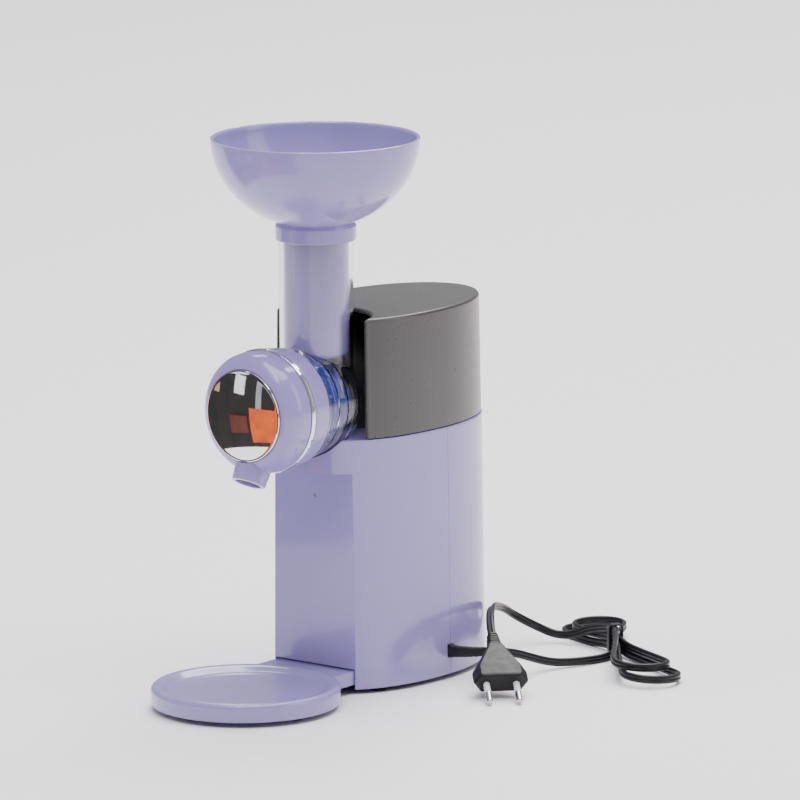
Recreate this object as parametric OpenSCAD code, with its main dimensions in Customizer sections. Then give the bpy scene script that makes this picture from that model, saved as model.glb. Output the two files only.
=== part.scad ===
// Frozen dessert maker: frozen fruit is pushed down a clear chute onto a conical
// auger, which a geared mains motor turns, and leaves soft through the front spout.
// Units are millimetres. The origin is on the table under the middle of the object,
// with +Z up and the spout towards -Y.

/* [Body] */
// Height of the deck that the grey cover stands on
deck_z = 160.5; // [140:0.5:180]
// Half width of the body at the table
body_half_w = 51; // [45:0.5:60]
// Half depth of the body at the table
body_half_d = 81; // [70:0.5:90]
// Wall thickness of the moulded shells
wall = 2.6; // [1.8:0.1:4]
// Height of the top of the grey cover
cover_top_z = 236; // [220:1:250]
// Half width of the flat front face
face_half_w = 31.1; // [25:0.1:36]

/* [Dispensing] */
// Height of the auger axis
axis_z = 183; // [175:0.5:190]
// Outer radius of the clear chute
chute_r = 23; // [20:0.5:26]
// Height of the rim of the bowl
rim_z = 347.5; // [330:0.5:360]
// Outer radius of the rim of the bowl
rim_r = 65; // [55:0.5:75]
// Height of the lower end of the pusher
pusher_end_z = 211; // [208:0.5:240]
// Pitch of the flight on the auger
flight_pitch = 20; // [14:1:30]

/* [Tray] */
// Outer radius of the drip tray
tray_r = 59; // [50:0.5:65]
// Height of the rim of the drip tray
tray_rim_z = 15; // [10:0.5:20]

/* [Gears] */
// Module of the first stage
module_1 = 1; // [0.8:0.05:1.2]
// Module of the second stage
module_2 = 1.25; // [1:0.05:1.5]
// Teeth of the motor pinion
teeth_motor = 14; // [12:1:18]
// Teeth of the small gear on the idler
teeth_small = 16; // [14:1:20]
// Teeth of each large gear
teeth_large = 56; // [48:1:64]

/* [Lead and plug] */
// Width of the flat two-core lead
cord_d = 5.4; // [5:0.1:7]
// Angle of the plug above the table
plug_tilt = 24; // [10:1:35]

/* [Part] */
// The piece to draw

/* [Hidden] */
$fn = 64;

lilac = [0.71, 0.69, 0.85];
silver_grey = [0.48, 0.48, 0.5];
black = [0.08, 0.08, 0.09];
steel = [0.72, 0.73, 0.75];
brass = [0.8, 0.66, 0.35];
copper = [0.75, 0.42, 0.22];
nylon = [0.9, 0.88, 0.82];
navy = [0.1, 0.14, 0.42];
clear = [0.85, 0.88, 0.95, 0.35];

eps = 0.01;

// Plan of the body: blunt in front, elliptical behind
body_y = 57;
blunt = 2.4;
plan_steps = 80;
draft = 1.7;
body_bottom_z = 3;
seam_y = 61;
face_y = -11;
face_top_z = 139.6;

// Dispensing axis, seen from above
chute_y = -7;
barrel_wall = 2.4;
barrel_front_y = -50;
spigot_r = 34;
shoulder_y = -39.2;
dome_y = -13;
dome_len = 30;
dome_r = 33.2;
boss_r = 11;
boss_end_y = 23;
snout_r = 8.1;
recess_r = 34;
recess_half_w = 34.8;
nose_x = 35.7;
nose_r = 2.3;
nose_y = -0.2;

// Drive train along Y, with all axes in the middle plane
idler_z = axis_z - module_2 * (teeth_small + teeth_large) / 2;
motor_z = idler_z - module_1 * (teeth_motor + teeth_large) / 2;
shaft_r = 6;
stage2_y = [49, 59];
stage1_y = [61, 69];
case_y = [44, 74];
stator_y = [86, 112];
backlash = 0.12;

// Tray
tray_y = -79;
neck_z = [5.8, 14.8];
neck_end_y = 20;

// Switch on the left side, cord exit on the right side
switch_y = 45;
switch_z = 62;
pivot_x = -47.5;
pivot_r = 1.2;
exit_z = 18;

// Lead, from the gland to the hank, and tail, from the hank to the plug
hank_c = [90, 180];
hank_turn = -38;
hank_z = [1.6, 18.4];
hank_r = 4;
loop_a = [86, 20];
loop_b = [57, 19];
tie_w = 6;
tie_gap = 5.1;
gland_route = [
    [51.6, 61, 18], [55, 61, 18], [60, 62.1, 18.2], [62, 63, 18.3]
];
lead_route = [
    [62.1, 63.05, 18.3], [65, 64.3, 18.4], [69.2, 67.2, 18.5], [72.9, 70.8, 18.6], [75.9, 75, 18.2],
    [78.6, 80.2, 17.4], [81.5, 90.1, 14.8], [83.2, 100.4, 11.1], [84.7, 110.7, 7.4], [87.1, 121.1, 4.6],
    [90.9, 131.5, 3.4], [95.4, 142, 3.1], [98.4, 152.6, 2.9], [99.2, 160, 3]
];
plug_dir = [cos(plug_tilt) * sqrt(0.5), -cos(plug_tilt) * sqrt(0.5), -sin(plug_tilt)];
pin_tip = [125, 21, 2.3];
pin_len = 19;
pin_r = 2;
plug_len = 36;
neck_len = 14;
plug_face = pin_tip - pin_len * plug_dir;
neck_end = plug_face - (plug_len + neck_len) * plug_dir;
tail_route = [
    neck_end, neck_end - 8.2 * plug_dir, [64, 84.5, 37.8], [53.5, 99, 38.4], [43.5, 114.5, 36.2],
    [34.5, 130.5, 32], [27.5, 147, 26.6], [24.5, 161, 19.6], [29, 174.5, 11.6], [40, 183, 5.6],
    [52, 186.4, 6.2], [62, 187.6, 10.4]
];

function plan(a, b) = [
    for (i = [0 : plan_steps - 1])
        let (t = 360 * i / plan_steps, n = sin(t) < 0 ? blunt : 2)
        [a * sign(cos(t)) * pow(abs(cos(t)), 2 / n), b * sign(sin(t)) * pow(abs(sin(t)), 2 / n)]
];
function rise(z) = (z - body_bottom_z) / (deck_z - body_bottom_z);
function body_plan(inset, z) = plan(
    body_half_w - inset - draft * rise(z),
    body_half_d - inset - rise(z)
);
function cover_plan(inset, t) = plan(
    cover_low_a - inset + (cover_top_a - cover_low_a) * t,
    cover_low_b - inset + (cover_top_b - cover_low_b) * t
);
function flank_angle(r_base, r) =
    let (roll = sqrt(pow(r / r_base, 2) - 1) * 180 / PI)
    roll - atan(roll * PI / 180);
function unit(v) = v / norm(v);
function tangent(p, i) = unit(p[min(i + 1, len(p) - 1)] - p[max(i - 1, 0)]);
function ring(c, t, r, sides) =
    let (u = unit(cross([0, 0, 1], t)), v = cross(t, u))
    [for (k = [0 : sides - 1]) c + r * (cos(360 * k / sides) * u + sin(360 * k / sides) * v)];
function barrel_r(y) = y < dome_y
    ? dome_r + 2.4 * (dome_y - y) / (dome_y - shoulder_y)
    : dome_r * sqrt(max(0, 1 - pow((y - dome_y) / dome_len, 2)));
function auger_r(y) = min(29.2, 23 - 0.25 * (y - chute_y), barrel_r(y + 1.2) - barrel_wall - 1);

// ---- shared shapes ----

module along_y(y0, y1) {
    translate([0, y1, 0])
        rotate([90, 0, 0])
            linear_extrude(y1 - y0)
                children();
}

module rod_y(r, y0, y1, z, x = 0) {
    translate([x, y1, z])
        rotate([90, 0, 0])
            cylinder(r = r, h = y1 - y0);
}

module tube_y(r_out, r_in, y0, y1, z, x = 0) {
    difference() {
        rod_y(r_out, y0, y1, z, x);
        rod_y(r_in, y0 - 1, y1 + 1, z, x);
    }
}

// A profile of [radius, y] turned about the auger axis
module turned(profile) {
    translate([0, 0, axis_z])
        rotate([-90, 0, 0])
            rotate_extrude($fn = 96)
                polygon(profile);
}

// Solid between an outline at one height and a like outline at another
module loft(low, z0, high, z1) {
    n = len(low);
    points = concat([for (p = low) [p[0], p[1], z0]], [for (p = high) [p[0], p[1], z1]]);
    walls = [
        for (k = [0 : n - 1])
            let (m = (k + 1) % n)
            each [[k, m + n, m], [k, k + n, m + n]]
    ];
    base = [[for (k = [0 : n - 1]) k]];
    lid = [[for (k = [n - 1 : -1 : 0]) n + k]];
    translate([0, body_y, 0])
        polyhedron(points = points, faces = concat(walls, base, lid), convexity = 6);
}

// Body outline with draft, cut between two heights
module body_form(inset, z0, z1) {
    loft(body_plan(inset, z0), z0, body_plan(inset, z1), z1);
}

module face_cut(depth) {
    translate([-100, -100 + face_y + depth, -1])
        cube([200, 100, face_top_z + 1 - depth]);
}

// Round bar along a route, which may taper to another radius
module swept(points, r, sides, end_r = 0) {
    n = len(points);
    last_r = end_r > 0 ? end_r : r;
    rings = [
        for (i = [0 : n - 1])
            each ring(points[i], tangent(points, i), r + (last_r - r) * i / (n - 1), sides)
    ];
    walls = [
        for (i = [0 : n - 2])
            for (k = [0 : sides - 1])
                let (a = i * sides + k, b = i * sides + (k + 1) % sides)
                each [[a, b + sides, b], [a, a + sides, b + sides]]
    ];
    start = [[for (k = [0 : sides - 1]) k]];
    end = [[for (k = [sides - 1 : -1 : 0]) (n - 1) * sides + k]];
    polyhedron(points = rings, faces = concat(walls, start, end), convexity = 6);
}

// Flat involute gear with one tooth centred on the angle given
module gear_2d(teeth, mod, tooth_at) {
    pitch_r = teeth * mod / 2;
    base_r = pitch_r * cos(20);
    tip_r = pitch_r + 0.95 * mod;
    root_r = pitch_r - 1.2 * mod;
    low_r = max(base_r, root_r + 0.1);
    half = 90 / teeth - backlash / 2 / pitch_r * 180 / PI + flank_angle(base_r, pitch_r);
    flank = [
        for (k = [0 : 4])
            let (r = low_r + (tip_r - low_r) * k / 4)
            [r, half - flank_angle(base_r, r)]
    ];
    gap = 180 / teeth;
    outline = [
        for (i = [0 : teeth - 1])
            let (c = tooth_at + 360 * i / teeth)
            each concat(
                [[root_r, c - gap], [root_r, c - half]],
                [for (p = flank) [p[0], c - p[1]]],
                [for (k = [4 : -1 : 0]) [flank[k][0], c + flank[k][1]]],
                [[root_r, c + half]]
            )
    ];
    polygon([for (p = outline) [p[0] * cos(p[1]), p[0] * sin(p[1])]]);
}

module gear(teeth, mod, tooth_at, y, z, bore) {
    translate([0, 0, z])
        along_y(y[0], y[1])
            difference() {
                gear_2d(teeth, mod, tooth_at);
                circle(bore);
            }
}

// ---- body ----

screw_x = 24;
screw_z = 14;
cover_spots = [[-43.6, 40], [43.6, 40], [-41.1, 85], [41.1, 85]];

module front_half() {
    translate([-100, -100, -1])
        cube([200, 100 + seam_y, 300]);
}

// Room for the barrel in the deck, a little larger than the barrel
module barrel_room(gap) {
    steps = 16;
    turned(concat(
        [[0, -80], [36 + gap, -80], [36 + gap, shoulder_y]],
        [
            for (i = [0 : steps])
                let (y = dome_y + (dome_len - 1) * i / steps)
                [barrel_r(y) + gap, y]
        ],
        [[0, dome_y + dome_len - 1 + gap]]
    ));
}

module front_housing() {
    color(lilac)
        difference() {
            union() {
                intersection() {
                    difference() {
                        body_form(0, body_bottom_z, deck_z);
                        difference() {
                            body_form(wall, body_bottom_z - 1, deck_z - wall);
                            face_cut(wall);
                        }
                        face_cut(0);
                        // Opening under the cover for the gearbox
                        intersection() {
                            body_form(wall + 5, deck_z - 2 * wall, deck_z + 1);
                            translate([-100, 27, 0])
                                cube(300);
                        }
                    }
                    front_half();
                }
                // Trough under the barrel
                intersection() {
                    barrel_room(0.8 + wall);
                    body_form(wall / 2, face_top_z, deck_z - eps);
                    front_half();
                }
                intersection() {
                    union() {
                        for (x = [-screw_x, screw_x]) {
                            rod_y(4.4, 36, seam_y, screw_z, x);
                            translate([x - 1.2, 36, 5.8])
                                cube([2.4, seam_y - 36, 6]);
                            translate([x < 0 ? -50 : x, 50, screw_z - 4.6])
                                cube([50 - screw_x, 11, 2.4]);
                        }
                        for (x = [-49, 38])
                            for (z = [100, 150])
                                translate([x, 36, z - 5])
                                    cube([11, 14, 10]);
                    }
                    body_form(1, 4, deck_z - 1);
                }
            }
            barrel_room(0.8);
            rod_y(boss_r + 1, 0, 30, axis_z);
            // Slot for the neck of the tray
            translate([-face_half_w - 0.5, -30, 0])
                cube([2 * face_half_w + 1, 30, neck_z[1] + 1]);
            for (x = [-screw_x, screw_x])
                rod_y(1.4, 45, seam_y + 1, screw_z, x);
            cover_holes();
            for (x = [-41, 41])
                for (z = [100, 150])
                    rod_y(1.2, 39, 51, z, x);
            translate([-60, switch_y - 6.6, switch_z - 9.6])
                cube([30, 13.2, 19.2]);
            translate([-60, switch_y - 8.05, switch_z - 11.05])
                cube([11.02, 16.1, 22.1]);
            exit_slot();
            translate([1.5, face_y - 1, 123])
                rotate([-90, 0, 0])
                    cylinder(r = 1.5, h = 1.6);
        }
}

module exit_slot() {
    translate([40, seam_y - 3, exit_z - 4.4])
        cube([20, 6, 8.8]);
}

module rear_housing() {
    color(lilac)
        difference() {
            union() {
                difference() {
                    body_form(0, body_bottom_z, deck_z);
                    body_form(wall, body_bottom_z - 1, deck_z - wall);
                    body_form(wall + 5, deck_z - 2 * wall, deck_z + 1);
                    front_half();
                }
                intersection() {
                    for (x = [-screw_x, screw_x])
                        rod_y(5.2, seam_y, 134, screw_z, x);
                    body_form(1, 4, deck_z - 1);
                }
            }
            for (x = [-screw_x, screw_x]) {
                rod_y(1.8, seam_y - 1, 130, screw_z, x);
                rod_y(3.6, seam_y + 6, 140, screw_z, x);
            }
            cover_holes();
            exit_slot();
            // Cooling slots low on the back
            for (i = [-3 : 3])
                translate([i * 6 - 1.2, 110, 24])
                    cube([2.4, 40, 34]);
        }
}

module housing_screws() {
    color(steel)
        for (x = [-screw_x, screw_x]) {
            rod_y(3.2, seam_y + 6, seam_y + 8.4, screw_z, x);
            rod_y(1.4, seam_y - 14, seam_y + 6 + eps, screw_z, x);
        }
}

module cover_holes() {
    for (p = cover_spots)
        translate([p[0], p[1], deck_z - 10])
            cylinder(r = 1.6, h = 12);
}

module cover_screws() {
    color(steel)
        for (p = cover_spots)
            translate([p[0], p[1], deck_z - wall]) {
                translate([0, 0, -2])
                    cylinder(r = 2.2, h = 2);
                translate([0, 0, -eps])
                    cylinder(r = 1.3, h = 12);
            }
}

module base_plate() {
    color(black)
        union() {
            difference() {
                body_form(wall + 0.2, 3, 5.6);
                face_cut(wall + 0.2);
                for (i = [-3 : 3])
                    translate([i * 7 - 1.5, 84, 2])
                        cube([3, 30, 5]);
            }
            for (x = [-10, 10])
                for (y = [36, 84])
                    translate([x, y, 5])
                        cylinder(r = 3, h = 21);
        }
}

foot_spots = [[-33, 10], [33, 10], [-27, 104], [27, 104]];

module base_feet() {
    color(black)
        for (p = foot_spots)
            translate([p[0], p[1], 0])
                cylinder(r1 = 6, r2 = 6.6, h = 3);
}

// ---- cover ----

cover_z0 = deck_z + 0.7;
cover_edge = 2.4;
cover_low_a = body_half_w - draft - 0.6;
cover_low_b = body_half_d - 1.6;
cover_top_a = body_half_w - draft - 1.8;
cover_top_b = body_half_d - 2.6;

module cover_form(inset, z0, z1) {
    loft(cover_plan(inset, 0), z0, cover_plan(inset, 1), z1);
}

module cover_plan_cut(grow) {
    translate([0, 0, cover_z0 - 1]) {
        translate([0, chute_y, 0])
            cylinder(r = recess_r - grow, h = 100, $fn = 96);
        translate([-recess_half_w + grow, -100, 0])
            cube([2 * (recess_half_w - grow), 100 + chute_y + 6, 100]);
        translate([-100, -100 - grow, 0])
            cube([200, 100 + nose_y, 100]);
    }
}

module top_cover() {
    h = cover_top_z - cover_z0;
    color(silver_grey)
        difference() {
            union() {
                difference() {
                    union() {
                        cover_form(0, cover_z0, cover_top_z - cover_edge);
                        // Rounded top edge in three steps
                        for (k = [0 : 2])
                            let (t = 90 * k / 3, u = 90 * (k + 1) / 3)
                            translate([0, body_y, cover_top_z - cover_edge + cover_edge * sin(t)])
                                linear_extrude(cover_edge * (sin(u) - sin(t)))
                                    polygon(plan(
                                        cover_top_a + cover_edge * (cos(u) - 1),
                                        cover_top_b + cover_edge * (cos(u) - 1)
                                    ));
                    }
                    difference() {
                        cover_form(wall, cover_z0 - 1, cover_top_z - wall);
                        cover_plan_cut(-wall);
                    }
                    cover_plan_cut(0);
                }
                for (x = [-1, 1])
                    translate([x * nose_x, nose_y, cover_z0])
                        cylinder(r = nose_r, h = h - cover_edge);
                for (p = cover_spots)
                    translate([p[0], p[1], cover_z0])
                        cylinder(r = 3.2, h = 12);
            }
            for (p = cover_spots)
                translate([p[0], p[1], cover_z0 - 1])
                    cylinder(r = 1.3, h = 11);
            rod_y(snout_r + 1.1, 20, 36, axis_z);
        }
}

// ---- gearbox ----

case_holes = [[-36, 204], [36, 204], [-32, 127], [32, 127]];
case_lugs = [[-41, 150], [41, 150], [-41, 100], [41, 100]];

module case_outline(grow) {
    hull() {
        translate([0, axis_z])
            circle(r = 39 + grow);
        translate([0, motor_z])
            circle(r = 13 + grow);
        translate([0, idler_z])
            circle(r = 32 + grow);
    }
}

module gearbox_case() {
    color(nylon)
        difference() {
            union() {
                along_y(case_y[0] + 2.5, case_y[1])
                    case_outline(0);
                for (p = case_lugs)
                    difference() {
                        translate([p[0] < 0 ? -45 : 10, 50, p[1] - 4.5])
                            cube([35, 3.4, 9]);
                        rod_y(1.8, 45, 60, p[1], p[0]);
                    }
                for (p = case_holes)
                    rod_y(4, case_y[0] + 2.5, case_y[1], p[1], p[0]);
            }
            along_y(case_y[0], case_y[1] - 3)
                case_outline(-2);
            rod_y(9, case_y[1] - 4, case_y[1] + 1, axis_z);
            rod_y(5.5, case_y[1] - 4, case_y[1] + 1, motor_z);
            for (p = case_holes)
                rod_y(1.4, case_y[0], case_y[0] + 16, p[1], p[0]);
            rod_y(3, case_y[1] - 4, case_y[1] - 1, idler_z);
            for (x = [-23, 23])
                for (z = [-25, 25])
                    rod_y(1.5, case_y[1] - 4, case_y[1] + 1, motor_z + z, x);
        }
}

module gearbox_cover() {
    color(nylon)
        difference() {
            union() {
                along_y(case_y[0], case_y[0] + 2.5)
                    case_outline(0);
                for (p = case_holes)
                    rod_y(4, case_y[0], case_y[0] + 2.5, p[1], p[0]);
                rod_y(snout_r, 17.5, case_y[0] + 1, axis_z);
                rod_y(12, 36, case_y[0] + 1, axis_z);
            }
            rod_y(7, 17, case_y[0] + 3, axis_z);
            rod_y(3, case_y[0] + 1, case_y[0] + 3, idler_z);
            for (p = case_holes)
                rod_y(1.6, case_y[0] - 1, case_y[0] + 3, p[1], p[0]);
        }
}

module gearbox_screws() {
    color(steel) {
        for (p = case_holes) {
            rod_y(3, case_y[0] - 2, case_y[0], p[1], p[0]);
            rod_y(1.4, case_y[0] - eps, case_y[0] + 14, p[1], p[0]);
        }
        for (p = case_lugs) {
            rod_y(3.2, 53.4, 55.4, p[1], p[0]);
            rod_y(1.2, 40, 53.4 + eps, p[1], p[0]);
        }
    }
}

module gear_bushes() {
    color(brass) {
        tube_y(7, shaft_r + 0.04, 19, 31, axis_z);
        tube_y(9, shaft_r + 0.04, case_y[1] - 3, case_y[1] + 1, axis_z);
    }
}

module idler_axle() {
    color(steel)
        rod_y(3, case_y[0] + 1, case_y[1] - 1, idler_z);
}

module shaft_seal() {
    color(black)
        difference() {
            rod_y(snout_r + 1.05, 24.8, 29.6, axis_z);
            rod_y(snout_r, 20, 30, axis_z);
        }
}

// ---- motor ----

module motor_stator() {
    color(steel)
        difference() {
            translate([-28, stator_y[0], motor_z - 28])
                cube([56, stator_y[1] - stator_y[0], 56]);
            rod_y(17.6, stator_y[0] - 1, stator_y[1] + 1, motor_z);
            // Winding slots above and below the poles
            for (z = [-1, 1])
                translate([-22, stator_y[0] - 1, motor_z + z * 17 - 6])
                    cube([44, 40, 12]);
            for (x = [-23, 23])
                for (z = [-25, 25])
                    rod_y(1.9, stator_y[0] - 1, stator_y[1] + 1, motor_z + z, x);
        }
}

module field_coils() {
    color(copper)
        for (z = [-1, 1])
            difference() {
                translate([-20.5, stator_y[0] - 4, motor_z + z * 19 - 3.5])
                    cube([41, stator_y[1] - stator_y[0] + 8, 7]);
                translate([-13, stator_y[0], motor_z + z * 19 - 5])
                    cube([26, stator_y[1] - stator_y[0], 10]);
                rod_y(17.8, stator_y[0] - 6, stator_y[1] + 6, motor_z);
            }
}

module motor_bracket() {
    color(steel)
        difference() {
            union() {
                for (z = [-1, 1])
                    translate([-7, stator_y[1], motor_z + z * 26 - 1])
                        cube([14, 16, 2]);
                translate([-7, 125, motor_z - 27])
                    cube([14, 3, 54]);
                rod_y(8, 121.5, 128, motor_z);
            }
            rod_y(5.5, 120, 129, motor_z);
        }
}

module motor_screws() {
    color(steel)
        for (x = [-23, 23])
            for (z = [-25, 25]) {
                rod_y(3.2, stator_y[1], stator_y[1] + 2.2, motor_z + z, x);
                rod_y(1.5, case_y[1] - 2.5, stator_y[1] + eps, motor_z + z, x);
                tube_y(3.4, 1.5, case_y[1], stator_y[0], motor_z + z, x);
            }
}

module brush_holders() {
    color(brass)
        for (x = [-1, 1])
            difference() {
                union() {
                    translate([x < 0 ? -24 : 10.4, 115, motor_z - 4])
                        cube([13.6, 7, 8]);
                    translate([x < 0 ? -24 : 19, stator_y[1], motor_z - 3])
                        cube([5, 4, 6]);
                }
                translate([-22.5, 116, motor_z - 2.5])
                    cube([45, 5, 5]);
            }
}

module carbon_brushes() {
    color(black)
        for (x = [-1, 1])
            translate([x < 0 ? -16 : 8.6, 116, motor_z - 2.5])
                cube([7.4, 5, 5]);
}

module brush_springs() {
    color(steel)
        for (x = [-1, 1])
            translate([x < 0 ? -22.5 : 16, 118.5, motor_z])
                rotate([0, 90, 0])
                    difference() {
                        cylinder(r = 2, h = 6.5, $fn = 24);
                        translate([0, 0, -1])
                            cylinder(r = 1.3, h = 9, $fn = 24);
                    }
}

module motor_bushes() {
    color(brass) {
        tube_y(5.5, 4.03, case_y[1] - 3, case_y[1] + 3, motor_z);
        tube_y(5.5, 4.03, 121.5, 128, motor_z);
    }
}

module motor_shaft() {
    color(steel)
        rod_y(4, 60, 128.5, motor_z);
}

module armature() {
    color(copper)
        difference() {
            union() {
                rod_y(17, stator_y[0], stator_y[1], motor_z);
                rod_y(13, stator_y[0] - 3, stator_y[1] + 2, motor_z);
            }
            rod_y(4, 70, 130, motor_z);
            for (i = [0 : 11])
                translate([0, stator_y[0] - 1, motor_z])
                    rotate([0, 30 * i, 0])
                        translate([14.6, 0, -0.8])
                            cube([3, 30, 1.6]);
        }
}

module commutator() {
    color(copper)
        difference() {
            rod_y(8.5, 115, 121, motor_z);
            rod_y(4, 110, 125, motor_z);
            for (i = [0 : 11])
                translate([0, 114, motor_z])
                    rotate([0, 30 * i, 0])
                        translate([7.9, 0, -0.3])
                            cube([1, 8, 0.6]);
        }
}

module cooling_fan() {
    color(nylon)
        difference() {
            union() {
                rod_y(6.5, 77.5, 82, motor_z);
                rod_y(17.5, 80.6, 81.6, motor_z);
                for (i = [0 : 8])
                    translate([0, 78, motor_z])
                        rotate([0, 40 * i, 0])
                            translate([6, 0, -0.6])
                                cube([11.5, 2.8, 1.2]);
            }
            rod_y(4, 70, 90, motor_z);
        }
}

module motor_pinion() {
    color(steel)
        gear(teeth_motor, module_1, 90, [stage1_y[0] - 0.6, stage1_y[1] + 0.6], motor_z, 4);
}

module idler_gear() {
    color(nylon) {
        gear(teeth_large, module_1, 180 / teeth_large - 90, stage1_y, idler_z, 3.04);
        gear(teeth_small, module_2, 90, [stage2_y[0], stage1_y[0] + eps], idler_z, 3.04);
    }
}

module output_gear() {
    color(nylon)
        union() {
            gear(teeth_large, module_2, 180 / teeth_large - 90, stage2_y, axis_z, shaft_r);
            tube_y(11, shaft_r, stage2_y[1] - eps, 68, axis_z);
        }
}

module drive_shaft() {
    color(steel)
        union() {
            rod_y(shaft_r, 17, case_y[1] + 0.5, axis_z);
            translate([0, 0, axis_z])
                along_y(1, 17 + eps)
                    circle(r = 5.6, $fn = 6);
        }
}

// ---- electrical parts ----

module circuit_board() {
    color([0.1, 0.3, 0.16])
        translate([-30, 31, 26])
            cube([60, 58, 1.6]);
}

module board_parts() {
    color(black) {
        translate([-16, 48, 27.6])
            cylinder(r = 8, h = 18);
        translate([4, 40, 27.6])
            cube([14, 6, 12]);
        translate([2, 62, 27.6])
            cube([18, 10, 10]);
        translate([-22, 70, 27.6])
            cube([14, 8, 11]);
    }
}

lead_ends = [
    [[40, 61, 20], [32, 61.5, 28], [25, 66, 34], [20.4, 67, 34]],
    [[-34.6, 45, 56], [-31, 47, 52], [-27, 60, 46], [-20, 72, 39.9]],
    [[10, 70.5, 38.8], [10, 84, 46], [15, 108, 63], [19, 118.5, 82], [23, 118.5, 98.6]],
    [[-12, 75, 39.9], [-13, 90, 48], [-15, 108, 63], [-19, 118.5, 82], [-23, 118.5, 98.6]]
];

module inner_leads() {
    color([0.15, 0.25, 0.6])
        for (path = lead_ends)
            swept(path, 1.1, 8);
}

module switch_body() {
    color(black)
        difference() {
            union() {
                translate([-50.4, switch_y - 8, switch_z - 11])
                    cube([1.4, 16, 22]);
                translate([-49.2, switch_y - 6.4, switch_z - 9.4])
                    cube([13.7, 12.8, 18.8]);
            }
            translate([-51, switch_y - 5.2, switch_z - 8.6])
                cube([8, 10.4, 17.2]);
            rod_y(pivot_r + 0.05, switch_y - 6, switch_y + 6, switch_z, pivot_x);
        }
}

module switch_rocker() {
    color([0.12, 0.12, 0.13])
        intersection() {
            translate([0, 4.9 + switch_y, 0])
                rotate([90, 0, 0])
                    linear_extrude(9.8)
                        polygon([
                            [-52.2, switch_z - 7.4], [-51, switch_z], [-49.8, switch_z + 7.4],
                            [-47.4, switch_z + 7.4], [-44.4, switch_z + 2], [-44.4, switch_z - 2],
                            [-48.6, switch_z - 7.4]
                        ]);
            translate([-60, switch_y - 10, switch_z - 10])
                cube([30, 20, 20]);
        }
    color([0.12, 0.12, 0.13])
        rod_y(pivot_r, switch_y - 5.8, switch_y + 5.8, switch_z, pivot_x);
}

// Strain relief: a flange inside the wall and a tapered sleeve outside it
module cord_gland() {
    color(black)
        difference() {
            union() {
                translate([44, seam_y - 2.9, exit_z - 4.3])
                    cube([9, 5.8, 8.6]);
                translate([42, seam_y - 4.5, exit_z - 6])
                    cube([4, 9, 12]);
                swept(gland_route, 3.7, 16, 2.9);
            }
            translate([40, seam_y, exit_z])
                rotate([0, 90, 0])
                    cylinder(r = 1.4, h = 12);
        }
}

module cord_clamp() {
    color(nylon)
        union() {
            translate([33, seam_y + 2.4, 5.65])
                cube([6, 8, 11.6]);
            translate([33, seam_y + 2.4, 17.2])
                cube([6, 3, 5]);
        }
}

// ---- tray ----

module drip_tray() {
    rim_r = 3.4;
    rim_c = tray_r - rim_r;
    steps = 8;
    profile = concat(
        [[0, 11.6], [tray_r - 13, 11.6], [tray_r - 10.5, 12.1], [rim_c - 3, tray_rim_z - 0.6]],
        [
            for (i = [0 : steps])
                let (a = 90 - 90 * i / steps)
                [rim_c + rim_r * cos(a), tray_rim_z - rim_r + rim_r * sin(a)]
        ],
        [[tray_r - 0.6, 3.3], [tray_r - 2.8, 3.3], [tray_r - 2.8, 9.2], [0, 9.2]]
    );
    color(lilac)
        difference() {
            union() {
                translate([0, tray_y, 0])
                    rotate_extrude($fn = 128)
                        polygon(profile);
                difference() {
                    translate([-face_half_w, tray_y + 40, neck_z[0]])
                        cube([2 * face_half_w, neck_end_y - tray_y - 40, neck_z[1] - neck_z[0]]);
                    translate([-face_half_w + 2.4, tray_y, neck_z[0] - 1])
                        cube([2 * face_half_w - 4.8, neck_end_y - tray_y - 2.4, 6.6]);
                    translate([0, tray_y, 0])
                        cylinder(r = tray_r - 3, h = 30, $fn = 128);
                }
                for (x = [-44, 44])
                    translate([x, tray_y - 6, 3.3])
                        cylinder(r = 5.4, h = 6.5);
            }
            // Finger notch where the neck meets the body
            translate([2, face_y - 3, neck_z[1] - 0.8])
                cube([2.4, 3, 2]);
        }
}

module tray_feet() {
    color(black)
        for (x = [-44, 44])
            translate([x, tray_y - 6, 0])
                cylinder(r1 = 5, r2 = 5.6, h = 3.3);
}

// ---- dispensing head ----

module chute_barrel() {
    steps = 16;
    outside = concat(
        [[spigot_r, barrel_front_y], [spigot_r, shoulder_y]],
        [[barrel_r(shoulder_y), shoulder_y]],
        [
            for (i = [0 : steps - 1])
                let (y = dome_y + (dome_len - 1.5) * i / steps)
                [barrel_r(y), y]
        ],
        [[boss_r, 15], [boss_r, boss_end_y], [snout_r + 0.4, boss_end_y]]
    );
    inside = concat(
        [[snout_r + 0.4, 12]],
        [
            for (i = [steps - 2 : -1 : 0])
                let (y = dome_y + (dome_len - 1.5) * i / steps)
                [max(snout_r + 0.4, barrel_r(y) - barrel_wall), y - 0.6]
        ],
        [[spigot_r - 2.6, barrel_front_y]]
    );
    color(clear)
        difference() {
            union() {
                turned(concat(outside, inside));
                difference() {
                    translate([0, chute_y, axis_z])
                        cylinder(r = chute_r, h = 288 - axis_z, $fn = 96);
                    barrel_room(-0.6);
                    rod_y(snout_r + 0.4, -60, 40, axis_z);
                }
            }
            intersection() {
                translate([0, chute_y, axis_z])
                    cylinder(r = chute_r - 2.1, h = 120, $fn = 96);
                translate([-50, -60, axis_z + 3])
                    cube([100, 74, 200]);
            }
        }
}

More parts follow.
